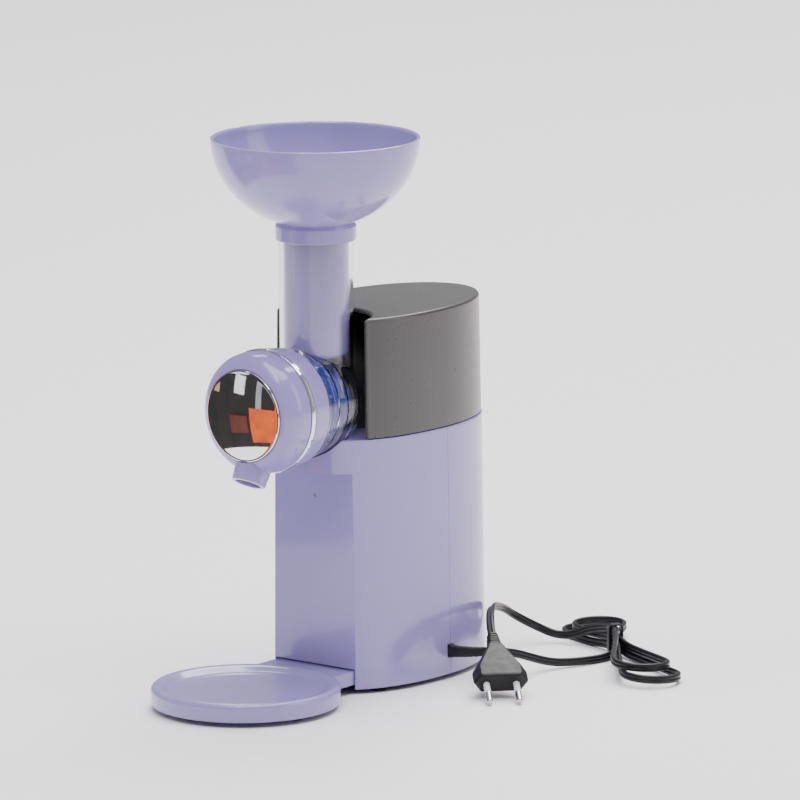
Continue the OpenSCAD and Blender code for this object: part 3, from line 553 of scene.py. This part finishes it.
# Sleeve of the strain relief: block in the wall, flange, then a taper down to the cord
sleeve_route = relaxed(spline([(42, 61, 18), (46, 61, 18), (50, 61, 18)] + GLAND_ROUTE, 0.8), 3)
sleeve_sections = []
for p in sleeve_route:
    along = p.x - 42
    if along < 4:
        tall, wide = 6.0, 4.5
    elif along < 10.8:
        tall, wide = 4.3, 2.85
    else:
        share = (along - 10.8) / (72.8 - 52.8)
        ribbed = 0.18 * (1 if int(share * 14) % 2 else 0)
        tall, wide = 3.9 - 1.0 * share - ribbed, 2.7 - 0.9 * share - ribbed
    sleeve_sections.append(squarish(tall, wide))
gland = swept("strain_relief", sleeve_route, sleeve_sections)


def belt(name, outline, profile, place):
    """A closed band: outline of (across, up, out-across, out-up), thickened by a closed profile."""
    points = []
    for x, y, nx, ny in outline:
        for out, along in profile:
            points.append(place(along, x + nx * out, y + ny * out))
    return solid(name, points, grid_faces(len(outline), len(profile), close_rows=True))


def outward(outline):
    """Adds to each point of a closed outline its outward normal."""
    result = []
    middle = sum((Vector(p) for p in outline), Vector((0, 0))) / len(outline)
    count = len(outline)
    for i, p in enumerate(outline):
        run = Vector(outline[(i + 1) % count]) - Vector(outline[i - 1])
        normal = Vector((run.y, -run.x)).normalized()
        if normal.dot(Vector(p) - middle) < 0:
            normal = -normal
        result.append((p[0], p[1], normal.x, normal.y))
    return result


tie_low, tie_high = 1.75, 18.5
tie_outline = outward(rounded(
    [(-3.7, tie_low, 2), (3.7, tie_low, 2), (3.7, tie_high, 2), (-3.7, tie_high, 2)], steps=6,
))
tie_profile = rounded([(0, -2.8, 0.3), (1.25, -2.8, 0.5), (1.25, 2.8, 0.5), (0, 2.8, 0.3)], steps=3)
tie = belt("cord_band", tie_outline, tie_profile, lambda along, side, z: in_hank(along, side, z))


def plug_outline(wide, tall, slope, radius):
    """Six-sided cross-section of the plug, its sides sloping to a ridge at mid height."""
    return rounded([
        (wide, 0, radius), (wide - slope, tall, radius), (slope - wide, tall, radius), (-wide, 0, radius),
        (slope - wide, -tall, radius), (wide - slope, -tall, radius),
    ], steps=4)


PLUG_STATIONS = [
    # distance behind the face, half width, half height, slope of the sides, corner radius
    (0.0, 14.6, 5.2, 3.6, 1.0), (0.5, 15.6, 6.0, 4.0, 1.2), (1.6, 16.9, 6.7, 4.4, 1.4),
    (3.0, 17.4, 6.85, 4.6, 1.4), (10.5, 17.4, 6.85, 4.6, 1.4), (12.5, 16.8, 6.8, 4.4, 1.6),
    (22.0, 12.2, 6.3, 3.2, 2.0), (30.0, 8.4, 5.7, 2.2, 2.2), (35.0, 6.2, 5.2, 1.4, 2.2),
    (36.6, 5.6, 5.0, 1.2, 2.2),
]


def plug_rings():
    """Rings of the plug's body, then its ribbed neck."""
    rings = []
    for back, wide, tall, slope, radius in PLUG_STATIONS:
        rings.append([at_plug((x, back, z)) for x, z in plug_outline(wide, tall, slope, radius)])
    ribs = 5
    for i in range(ribs):
        for part, inset in ((0.0, 0.55), (0.22, 0.0), (0.72, 0.0), (0.94, 0.55)):
            share = (i + part) / ribs
            wide = 5.1 - 1.4 * share - inset
            tall = 4.9 - 1.3 * share - inset
            back = 36.9 + 13 * share
            rings.append([at_plug((x, back, z)) for x, z in plug_outline(wide, tall, 1.2, 2.0)])
    return rings


plug = lofted("plug_shell", plug_rings())


def plug_turned(name, outline, x):
    """A turned part of the plug about a pin's axis; heights run out of the face."""
    obj = turned(name, outline, "y", (x, 0, 0), 40)
    for v in obj.data.vertices:
        v.co = at_plug((v.co.x / MM, -v.co.y / MM, v.co.z / MM)) * MM
    return obj


def merged(name, parts):
    """Separate closed shells of one finish as one object."""
    bm = bmesh.new()
    for part in parts:
        bm.from_mesh(part.data)
        bpy.data.objects.remove(part)
    bmesh.ops.recalc_face_normals(bm, faces=bm.faces)
    mesh = bpy.data.meshes.new(name)
    bm.to_mesh(mesh)
    bm.free()
    obj = bpy.data.objects.new(name, mesh)
    bpy.context.scene.collection.objects.link(obj)
    return obj


sleeve_outline = rounded([(1.52, 0.02, 0), (2.0, 0.02, 0), (2.0, 9.5, 0.35), (1.52, 9.5, 0)], steps=4)
pin_outline = rounded([
    (0, -6, 0), (1.5, -6, 0), (1.5, 9.6, 0), (2, 9.6, 0.2), (2, 19, 1.2), (0, 19, 0),
], steps=6)
PIN_X = (-9.3, 9.3)
sleeves = merged("pin_sleeves", [plug_turned("sleeve", sleeve_outline, x) for x in PIN_X])
pins = merged("contact_pins", [plug_turned("pin", pin_outline, x) for x in PIN_X])

piece(cord, CORD_SKIN, "base", "cord_lead", "cord_hank", "cord_tail")
piece(gland, RUBBER, "base", "cord_gland")
piece(tie, BLACK, "base", "cord_tie")
piece(plug, BLACK, "base", "plug_body", edge=0.25)
piece(sleeves, SLEEVE, "base", "plug_sleeves")
piece(pins, STEEL, "base", "plug_pins")


# ---- body ----

def body_plan(inset, z, front=-200.0, count=240):
    """Outline of the body at a height: blunt in front and elliptical behind, cut off at front."""
    rise = (z - 3) / (DECK_Z - 3)
    a = 51 - inset - 1.7 * rise
    b = 81 - inset - rise
    ring = []
    for k in range(count):
        t = 2 * pi * k / count
        n = 2.4 if sin(t) < 0 else 2.0
        x = a * (1 if cos(t) >= 0 else -1) * abs(cos(t)) ** (2 / n)
        y = b * (1 if sin(t) >= 0 else -1) * abs(sin(t)) ** (2 / n)
        ring.append((x, max(BODY_Y + y, front), z))
    return ring


def quarter(radius, z, steps=5, upward=True):
    """Insets and heights of an edge rounding that ends flat at height z."""
    for k in range(steps + 1):
        a = pi / 2 * k / steps
        drop = radius - radius * sin(a)
        yield radius * (1 - cos(a)), z - drop if upward else z + drop


def barrel_r(y):
    """Outer radius of the clear barrel at a depth."""
    if y < -13:
        return 33.2 + 2.4 * (-13 - y) / 26.2
    return 33.2 * sqrt(max(0, 1 - ((y + 13) / 30) ** 2))


def barrel_room(gap):
    """Space that the barrel takes in the deck, a little larger than the barrel."""
    dome = [(barrel_r(-13 + 29 * k / 20) + gap, -13 + 29 * k / 20) for k in range(21)]
    outline = [(0, -80), (36 + gap, -80), (36 + gap, -39.2)] + dome + [(0, 16 + gap)]
    return turned("room", outline)


def body_shell():
    """Both halves of the body in one: skin, flat front, trough, slots and holes."""
    rings = [body_plan(inset, z) for inset, z in quarter(0.9, 3, 3, upward=False)][::-1]
    rings += [body_plan(0, z) for z in (20, 60, 100, 139.6)]
    rings += [body_plan(inset, z) for inset, z in quarter(1.3, DECK_Z)]
    shell = lofted("body", rings)
    combine(shell, "DIFFERENCE", block("front", (-80, -90, -20), (80, -11, 139.6)))
    cavity = lofted("cavity", [body_plan(2.6, z, front=-8.4) for z in (2, 145)])
    opening = lofted("opening", [body_plan(7.6, z, front=27) for z in (140, 170)])
    combine(shell, "DIFFERENCE", cavity, opening, barrel_room(0.8))
    combine(shell, "DIFFERENCE", block("neck_slot", (-31.6, -40, -5), (31.6, 20, 15.8)))
    combine(shell, "DIFFERENCE", block("exit_slot", (40, 58, 13.6), (62, 64, 22.4), 0.8))
    combine(shell, "DIFFERENCE", block("switch_hole", (-62, 38.4, 52.4), (-40, 51.6, 71.6)))
    combine(shell, "DIFFERENCE", block("bezel_seat", (-62, 36.95, 50.95), (-48.98, 53.05, 73.05), 0.8))
    dimple = [(0, -12), (1.5, -12), (1.5, -10.4), (0, -10.4)]
    combine(shell, "DIFFERENCE", turned("dimple", dimple, "y", (1.5, 0, 123), 32))
    for k in range(-3, 4):
        slot = block("cooling_slot", (k * 6 - 1.2, 110, 24), (k * 6 + 1.2, 150, 58), 1.15)
        combine(shell, "DIFFERENCE", slot)
    for x in (-24, 24):
        combine(shell, "DIFFERENCE", rod("screw_tunnel", 3.6, (x, 100, 14), (x, 150, 14), 40))
    return shell


def half(shell, name, low_y, high_y):
    """The part of the shell between two depths."""
    cut = bpy.data.objects.new(name, shell.data.copy())
    bpy.context.scene.collection.objects.link(cut)
    return combine(cut, "INTERSECT", block("keep", (-90, low_y, -10), (90, high_y, 200)))


SEAM_Y = 61
SEAM_GAP = 0.14
shell = body_shell()
front = half(shell, "front_shell", -60, SEAM_Y - SEAM_GAP)
rear = half(shell, "rear_shell", SEAM_Y + SEAM_GAP, 180)
bpy.data.objects.remove(shell)
piece(front, LILAC, "base", "front_housing")
piece(rear, LILAC, "base", "rear_housing")


# ---- grey cover ----

COVER_Z = 161.2
COVER_TOP = 236


def cover_outline(inset, share, nose, count=120):
    """Plan of the cover: the body's oval with a round bay in front between two horns.

    The inset moves the whole outline inwards, share runs from 0 at the foot to 1 at the top.
    """
    a = 48.7 - 1.2 * share - inset
    b = 79.4 - 1.0 * share - inset
    bay = 34 + inset
    front = -0.2 + inset
    outer = []
    for k in range(count + 1):
        low = asin(min(1, (abs(front - BODY_Y) / b) ** 1.2))
        t = -low + (pi + 2 * low) * k / count
        n = 2.4 if sin(t) < 0 else 2.0
        x = a * (1 if cos(t) >= 0 else -1) * abs(cos(t)) ** (2 / n)
        y = b * (1 if sin(t) >= 0 else -1) * abs(sin(t)) ** (2 / n)
        outer.append((x, BODY_Y + y))
    side = sqrt(bay ** 2 - (front - CHUTE_Y) ** 2)
    begin = atan2(front - CHUTE_Y, -side)
    end = atan2(front - CHUTE_Y, side)
    inner = []
    for k in range(61):
        t = begin + (end - begin) * k / 60
        inner.append((bay * cos(t), CHUTE_Y + bay * sin(t)))
    left_nose = horn(outer[-1], inner[0], front, nose, -1)
    right_nose = [(-x, y) for x, y in left_nose[::-1]]
    return outer + left_nose + inner + right_nose


def horn(outer_end, inner_end, front, nose, side):
    """Rounded tip of a horn between the outer wall and the bay, on the left."""
    middle = (outer_end[0] + inner_end[0]) / 2
    half_gap = abs(outer_end[0] - inner_end[0]) / 2
    points = []
    for k in range(1, 14):
        t = pi * k / 14
        points.append((middle + side * half_gap * cos(t), front - nose * sin(t)))
    return points


def top_cover():
    """Grey cover: a closed hood, open below, with a rounded upper edge."""
    rings = [[(x, y, COVER_Z) for x, y in cover_outline(0, 0, 2.3)]]
    rings += [[(x, y, 200) for x, y in cover_outline(0, 0.5, 2.3)]]
    for inset, z in quarter(2.0, COVER_TOP, 6):
        rings.append([(x, y, z) for x, y in cover_outline(inset, 1, 2.3 - inset * 0.9)])
    hood = lofted("hood", rings)
    inner = [[(x, y, z) for x, y in cover_outline(2.6, share, 0.1)] for share, z in ((0, 150), (1, 233.4))]
    combine(hood, "DIFFERENCE", lofted("inside", inner))
    combine(hood, "DIFFERENCE", rod("shaft_hole", 9.2, (0, 15, AXIS_Z), (0, 40, AXIS_Z)))
    return hood


piece(top_cover(), GREY, "base", "top_cover")


# ---- clear chute and barrel ----

def chute_and_barrel():
    """One clear moulding: round barrel with a domed back and boss, and the chute standing on it."""
    y0, y1 = -50, 23
    dome = [(barrel_r(y), y) for y in [-13 + 28.5 * k / 24 for k in range(24)]]
    spigot = [(0, y0), (34, y0), (34, -39.2), (barrel_r(-39.2), -39.2)]
    outside = spigot + dome + [(11, 15), (11, y1), (0, y1)]
    inside_dome = [(max(8.5, barrel_r(y) - 2.4), y - 0.6) for y in [-13 + 28.5 * k / 24 for k in range(23)]]
    inside = [(0, y0 - 1), (31.4, y0 - 1)] + inside_dome + [(8.5, 12), (8.5, y1 + 1), (0, y1 + 1)]
    barrel = turned("barrel", outside)
    tube = [(0, 183), (23, 183), (23, 286.8), (22.4, 288), (0, 288)]
    combine(barrel, "UNION", turned("tube", tube, "z", (0, CHUTE_Y, 0)))
    combine(barrel, "DIFFERENCE", turned("bore", inside))
    bore = [(0, 186), (20.9, 186), (20.9, 290), (0, 290)]
    for y in (-37, -27.5, -18, -8.5):
        r = barrel_r(y)
        low, high = r - 1, r + 0.35
        bead = rounded([(low, y - 1.1, 0), (high, y - 0.4, 0.3), (high, y + 0.4, 0.3), (low, y + 1.1, 0)])
        combine(barrel, "UNION", turned("bead", bead))
    combine(barrel, "DIFFERENCE", turned("tube_bore", bore, "z", (0, CHUTE_Y, 0)))
    return barrel


chute = piece(chute_and_barrel(), CLEAR, "chute", "chute_barrel")
# Light goes through the clear walls to the auger and the plunger
chute.visible_shadow = False


# ---- auger ----

def auger():
    """Cone with one round-edged helical flight, its narrow end towards the motor, bored for the socket."""
    y0, y1, rows, columns = -46.0, 10.0, 200, 120
    rings = []
    for i in range(rows + 1):
        y = y0 + (y1 - y0) * i / rows
        big = min(29.2, 23 - 0.25 * (y - CHUTE_Y), barrel_r(y + 1.2) - 3.4)
        turn = 2 * pi * (y - y0) / 20
        ring = []
        for k in range(columns):
            a = 2 * pi * k / columns
            off = abs((a - turn + pi) % (2 * pi) - pi) * 180 / pi
            share = min(1, max(0, (off - 22) / 30))
            dip = share * share * (3 - 2 * share)
            r = big - min(5, big - 9.6) * dip
            ring.append((r * cos(a), y, AXIS_Z + r * sin(a)))
        rings.append(ring)
    for r, y in ((8.05, y1), (8.05, -2.0)):
        ring = []
        for k in range(columns):
            a = 2 * pi * k / columns
            ring.append((r * cos(a), y, AXIS_Z + r * sin(a)))
        rings.append(ring)
    return lofted("worm", rings)


piece(auger(), NAVY, "auger", "auger")


# ---- nozzle head ----

def spout_rings(radii, count=64):
    """Rings of the spout's cone, which leans a little; radii are (height along it, radius)."""
    lean = atan2(3.9, 7.5)
    axis = Vector((0, sin(lean), cos(lean)))
    side = Vector((1, 0, 0))
    depth = axis.cross(side)
    end = Vector((0, -74.6, 140))
    rings = []
    for up, r in radii:
        centre = end + axis * up
        turns = [2 * pi * k / count for k in range(count)]
        rings.append([centre + side * r * cos(a) + depth * r * sin(a) for a in turns])
    return rings


def nozzle_head():
    """Nozzle cap: a face with a seat for the disc, a round shoulder, a neck, and the spout."""
    shoulder_turns = [radians(19 + 71 * k / 16) for k in range(17)]
    shoulder = [(25 + 13 * sin(a), -65.5 - 13 * cos(a)) for a in shoulder_turns]
    outline = (
        [(0, -77), (28.9, -77), (28.9, -77.7)] + shoulder
        + [(38, -59.3), (37.6, -58.8), (37.2, -58.7), (37.2, -58.4), (34.8, -58.4), (34.8, -53.5)]
        + [(36.2, -53.5), (36.2, -51.5), (31.4, -51.5)]
        + [(21 + 10.4 * sin(a), -64.4 - 10.4 * cos(a)) for a in [pi / 2 * (1 - k / 10) for k in range(11)]]
        + [(0, -74.8)]
    )
    cap = turned("cap", outline)
    spout = lofted("spout", spout_rings([(0, 10.1), (0.25, 10.5), (0.7, 10.7), (19, 11.9)]))
    hollow = [(0, -40), (34, -40), (34, -64), (30, -71), (22, -75), (0, -75), (0, -75)]
    combine(spout, "DIFFERENCE", turned("hollow", hollow))
    combine(spout, "DIFFERENCE", rod("face_room", 28.9, (0, -95, AXIS_Z), (0, -76.5, AXIS_Z), 96))
    ring_room = turned("ring_room", [(34.8, -58.4), (60, -58.4), (60, -45), (34.8, -45)])
    combine(spout, "DIFFERENCE", ring_room)
    combine(cap, "UNION", spout)
    combine(cap, "DIFFERENCE", lofted("bore", spout_rings([(-1, 8.15), (26, 8.6)])))
    return cap


def chrome_disc():
    """Domed mirror with a thin rolled rim."""
    dome = [(27.6 * (1 - k / 24), -79.3 - 2.9 * (1 - (1 - k / 24) ** 2)) for k in range(25)]
    edge = [(0, -77), (28.6, -77), (28.6, -78.7), (28.4, -79.2), (28.0, -79.4)]
    return turned("disc", edge + dome, steps=192)


piece(nozzle_head(), LILAC, "nozzle", "nozzle_cap")
piece(chrome_disc(), CHROME, "nozzle", "front_disc")
trim = rounded([
    (34.8, -58.4, 0), (38.3, -58.4, 0.4), (38.9, -57.2, 0.5), (38.9, -56.0, 0.5), (38.3, -55.0, 0.4),
    (34.8, -55.0, 0),
])
piece(turned("chrome_ring", trim, steps=192), CHROME, "nozzle", "trim_ring")
lock = rounded([
    (35.2, -54.8, 0.2), (38.0, -54.8, 0.5), (38.5, -53.9, 0.5), (36.9, -40.0, 0.5), (36.4, -39.5, 0.4),
    (34.5, -39.5, 0.2), (34.5, -51, 0), (36.6, -51, 0), (36.6, -53.9, 0), (35.2, -53.9, 0),
])
piece(turned("bayonet_ring", lock, steps=192), LILAC, "lock", "lock_ring")


# ---- bowl and plunger ----

def bowl():
    """Deep round bowl with a thin rolled rim, and the collar that sits on the chute."""
    arc = [radians(2.5 + 65.5 * k / 30) for k in range(31)]
    outer = [(65 * cos(a), RIM_Z + 1 - 58 * sin(a)) for a in arc]
    inner = [(62.6 * cos(a), RIM_Z + 1 - 55.4 * sin(a)) for a in arc[::-1]]
    rim = [(63.1, RIM_Z - 0.4), (63.7, RIM_Z), (64.3, RIM_Z), (64.85, RIM_Z - 0.4)]
    collar = rounded([
        (24.9, 293.2, 0), (25.2, 292.4, 0.3), (25.2, 283.6, 0.8), (23.4, 283.6, 0.4), (23.4, 288.4, 0),
        (18.2, 288.4, 0), (18.2, 294.2, 0.8),
    ], steps=4)
    return turned("bowl", outer + collar + inner + rim, "z", (0, CHUTE_Y, 0), 200)


def plunger():
    """Hollow plunger, closed and rounded at its lower end."""
    outline = rounded([
        (0, 211, 0), (20.3, 211, 4), (20.3, 288.4, 0), (18.2, 288.4, 0), (18.2, 213.4, 1.5), (0, 213.4, 0),
    ])
    return turned("plunger", outline, "z", (0, CHUTE_Y, 0), 160)


piece(bowl(), LILAC, "pusher", "pusher_bowl", "pusher_collar")
piece(plunger(), LILAC, "pusher", "pusher_shaft")


# ---- drip tray ----

def drip_tray():
    """Round dished tray with a rolled rim and a skirt, and the flat neck that enters the body."""
    rim = [(55.6 + 3.4 * cos(a), 11.6 + 3.4 * sin(a)) for a in [pi / 2 * (1 - k / 10) for k in range(11)]]
    outline = (
        [(0, 11.6), (45.5, 11.6), (47.4, 11.8), (48.6, 12.2), (51.6, 14.0), (53.2, 14.75)] + rim
        + [(58.5, 4.2), (58.2, 3.5), (57.8, 3.3), (56.2, 3.3), (56.2, 9.2), (0, 9.2)]
    )
    tray = turned("tray", outline, "z", (0, TRAY_Y, 0), 200)
    neck = block("neck", (-31.1, TRAY_Y + 40, 5.8), (31.1, 20, 14.8), 0.8)
    combine(neck, "DIFFERENCE", block("underside", (-28.7, TRAY_Y + 30, 2), (28.7, 17.6, 11.4)))
    combine(neck, "DIFFERENCE", rod("dish", 56.4, (0, TRAY_Y, -5), (0, TRAY_Y, 30), 160))
    combine(neck, "DIFFERENCE", block("notch", (2, -14, 14), (4.4, -11, 18), 0.3))
    combine(tray, "UNION", neck)
    for x in (-44, 44):
        combine(tray, "UNION", rod("foot_boss", 5.4, (x, TRAY_Y - 6, 3.3), (x, TRAY_Y - 6, 9.8), 48))
    return tray


piece(drip_tray(), LILAC, "tray", "drip_tray")


# ---- floor, backdrop and light ----


def stage_point(across, away, height):
    """A point of the studio: across the view, away from the camera, up. In metres."""
    c, s = cos(VIEW_YAW), sin(VIEW_YAW)
    return Vector((across * c - away * s, across * s + away * c, height))


def paper():
    """Wide flat floor of seamless paper, which fills the picture behind the object as well."""
    reach, steps = 16000, 48
    points = [(reach * cos(2 * pi * k / steps), reach * sin(2 * pi * k / steps), 0) for k in range(steps)]
    obj = solid("paper", points, [tuple(range(steps))])
    pale = (0.95, 0.915, 0.94)
    tint = material("studio paper", pale, 0.8, spread=0.05, shade=0.985, grain=500, bump=0.03)
    obj.data.materials.append(tint)


def glowing_reflection_card(name, turn, height, radius, colour, colour2, glow=0.0):
    """Part of a dark room round the chrome disc, seen only in reflections: a glowing card, no lamp, whose
    emission paints the room's light and shade into the reflections.

    turn and height are (from, to) in degrees about the disc and in millimetres.
    """
    points = []
    for k in range(13):
        a = radians(turn[0] + (turn[1] - turn[0]) * k / 12)
        for z in height:
            points.append((radius * cos(a), -80 + radius * sin(a), z))
    obj = solid(name, points, grid_faces(13, 2, close_columns=False))
    tint = material(name + " wall", colour, 0.7, shade=0.3, grain=60)
    tree = tint.node_tree
    shader = tree.nodes["Principled BSDF"]
    patches = range_nodes(tree, noise_nodes(tree, 17, 3, (1, 1, 0.6)), 0, 1)
    # The emission colour paints lit and dark patches of the room; the card glows though it is no lamp
    tree.links.new(mix_nodes(tree, colour, colour2, patches), shader.inputs["Emission Color"])
    shader.inputs["Emission Strength"].default_value = glow
    obj.data.materials.append(tint)
    obj.visible_camera = False
    obj.visible_shadow = False
    obj.visible_diffuse = False
    obj.visible_transmission = False


def area_light(name, place, target, size, power, colour=(1, 1, 1)):
    """A soft rectangular light aimed at a point, in metres and watts; the camera doesn't see it."""
    data = bpy.data.lights.new(name, "AREA")
    data.shape = "RECTANGLE"
    data.size, data.size_y = size
    data.energy = power
    data.color = colour
    obj = bpy.data.objects.new(name, data)
    bpy.context.scene.collection.objects.link(obj)
    aim = (Vector(target) - Vector(place)).to_track_quat("-Z", "Y").to_matrix().to_4x4()
    obj.matrix_world = Matrix.Translation(Vector(place)) @ aim
    obj.visible_camera = False


paper()
# Glowing cards, no lamps, that paint a dark room, a cabinet, a shelf, windows and a door into the
# reflections
glowing_reflection_card("room", (186, 292), (4, 900), 370, (0.002, 0.002, 0.002), (0.014, 0.009, 0.007), 1.0)
glowing_reflection_card("cabinet", (238, 268), (25, 150), 362, (0.62, 0.09, 0.004), (0.06, 0.012, 0.004), 0.9)
glowing_reflection_card("shelf", (222, 236), (60, 120), 360, (0.10, 0.018, 0.004), (0.006, 0.005, 0.005), 1.0)
glowing_reflection_card("window", (226, 234), (190, 250), 358, (0.75, 0.78, 0.8), (0.10, 0.10, 0.11), 1.1)
glowing_reflection_card("far_window", (207, 214), (180, 230), 358, (0.5, 0.36, 0.25), (0.06, 0.05, 0.05), 1.0)
glowing_reflection_card("door", (243, 247), (150, 300), 359, (0.3, 0.31, 0.33), (0.03, 0.03, 0.03), 1.0)
area_light("overhead", stage_point(0.3, -0.2, 2.4), (0, 0, 0.15), (1.8, 1.8), 58, (1, 0.985, 0.985))
area_light("right side", stage_point(1.9, -0.5, 1.1), (0, 0.05, 0.15), (0.9, 1.6), 10, (1, 0.985, 0.98))
area_light("left side", stage_point(-2.0, -0.3, 1.2), (0, 0, 0.15), (0.8, 1.8), 11, (0.96, 0.95, 1))
area_light("high front", stage_point(-0.5, -1.3, 2.3), (0, 0, 0.3), (0.9, 0.9), 20, (1, 0.98, 0.99))
area_light(
    "backdrop", stage_point(0.8, 2.6, 3.6), stage_point(0.6, 2.4, 0), (3.0, 3.0), 260, (1, 0.975, 0.965),
)

world = bpy.data.worlds.new("studio")
bpy.context.scene.world = world
world.use_nodes = True
sky = world.node_tree.nodes["Background"]
sky.inputs["Color"].default_value = (0.93, 0.92, 0.97, 1)
sky.inputs["Strength"].default_value = 0.42
